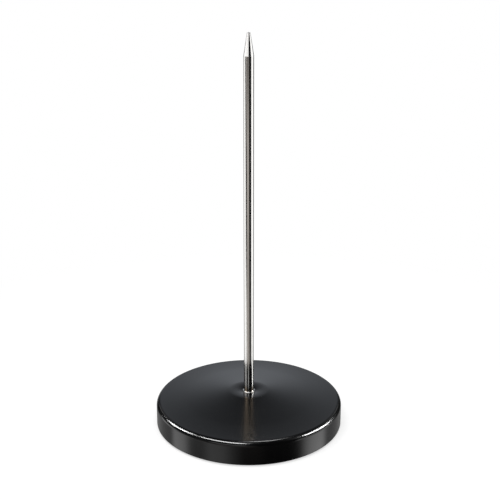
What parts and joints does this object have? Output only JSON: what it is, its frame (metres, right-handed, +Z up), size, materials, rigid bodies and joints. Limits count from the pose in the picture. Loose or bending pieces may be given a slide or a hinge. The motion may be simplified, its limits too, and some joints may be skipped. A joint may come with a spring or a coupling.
{
  "type": "receipt spike",
  "caption": "Upright polished steel rod with a blunted point on a heavy round satin-black base, for spiking paper receipts and order slips on a counter.",
  "frame": {"origin": "on the table, under the middle of the base, at the rubber pad's lower face", "axes": "+Z up along the rod to the point; X and Y are free, as the part is round"},
  "size_m": [0.095, 0.095, 0.2],
  "materials": {
    "polished_steel": "mirror-polished stainless steel with faint drawing marks along the rod",
    "satin_black": "smooth satin black stoved enamel",
    "cast_iron": "as cast, dark grey, lightly oiled",
    "zinc_plate": "clear zinc plate",
    "black_rubber": "matt black sheet rubber with a fine grain"
  },
  "bodies": {
    "root": {"spike_rod": "polished_steel", "rod_collar": "polished_steel", "base_cover": "satin_black", "ballast": "cast_iron", "plain_washer": "zinc_plate", "lock_washer": "zinc_plate", "clamp_nut": "zinc_plate", "base_pad": "black_rubber"}
  },
  "joints": []
}
